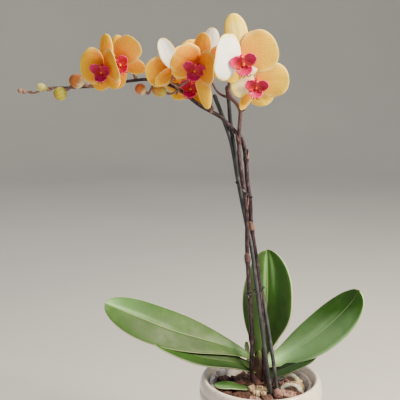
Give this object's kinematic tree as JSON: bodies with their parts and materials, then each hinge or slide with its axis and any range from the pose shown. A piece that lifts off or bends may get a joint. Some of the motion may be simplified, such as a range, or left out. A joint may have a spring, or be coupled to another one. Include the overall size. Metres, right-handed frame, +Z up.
{
  "type": "potted orchid",
  "caption": "Potted moth orchid: arching stems of golden-orange flowers with magenta lips, broad green leaves and bark in a white glazed pot.",
  "frame": {"origin": "centre of the pot's foot, on the plane it stands on", "axes": "+Z up, -Y towards the side that most flowers face, +X to the right as seen from there"},
  "size_m": [0.3797, 0.14, 0.5342],
  "materials": {
    "glaze": "warm white gloss glaze",
    "clear_plastic": "clear, slightly lilac, streaky",
    "sheath": "dry brown and purple leaf sheaths",
    "bark": "rough bark chunks, red-brown, cream and tan",
    "leaf": "thick waxy green leaf with a pale rim",
    "root": "silvery spongy skin over a green root",
    "stake": "grey-blue coated stick",
    "purple_stem": "smooth purple-brown stem",
    "brown_stem": "smooth red-brown stem",
    "wire": "bare thin wire",
    "petal": "velvety golden orange with pale rims",
    "lip": "waxy magenta and crimson",
    "bud_orange": "smooth orange-brown skin",
    "bud_green": "smooth yellow-green skin"
  },
  "bodies": {
    "root": {"pot": "glaze", "liner_pot": "clear_plastic", "crown": "sheath", "leaf_1": "leaf", "leaf_2": "leaf", "leaf_3": "leaf", "leaf_4": "leaf", "leaf_5": "leaf", "leaf_6": "leaf", "root_1": "root", "root_2": "root", "root_3": "root", "root_4": "root", "stake_front": "stake", "stake_rear": "stake", "bark_mix": "bark", "spike_left": "purple_stem", "spike_right": "brown_stem", "tie_lower": "wire", "tie_upper": "wire", "bloom_1": "petal", "lip_1": "lip", "bloom_2": "petal", "lip_2": "lip", "bloom_3": "petal", "lip_3": "lip", "bloom_4": "petal", "lip_4": "lip", "bloom_5": "petal", "lip_5": "lip", "bloom_6": "petal", "lip_6": "lip", "bloom_7": "petal", "lip_7": "lip", "bloom_8": "petal", "lip_8": "lip", "bud_1": "bud_green", "bud_2": "bud_green", "bud_3": "bud_orange", "bud_4": "bud_orange", "bud_5": "bud_green"}
  },
  "joints": []
}
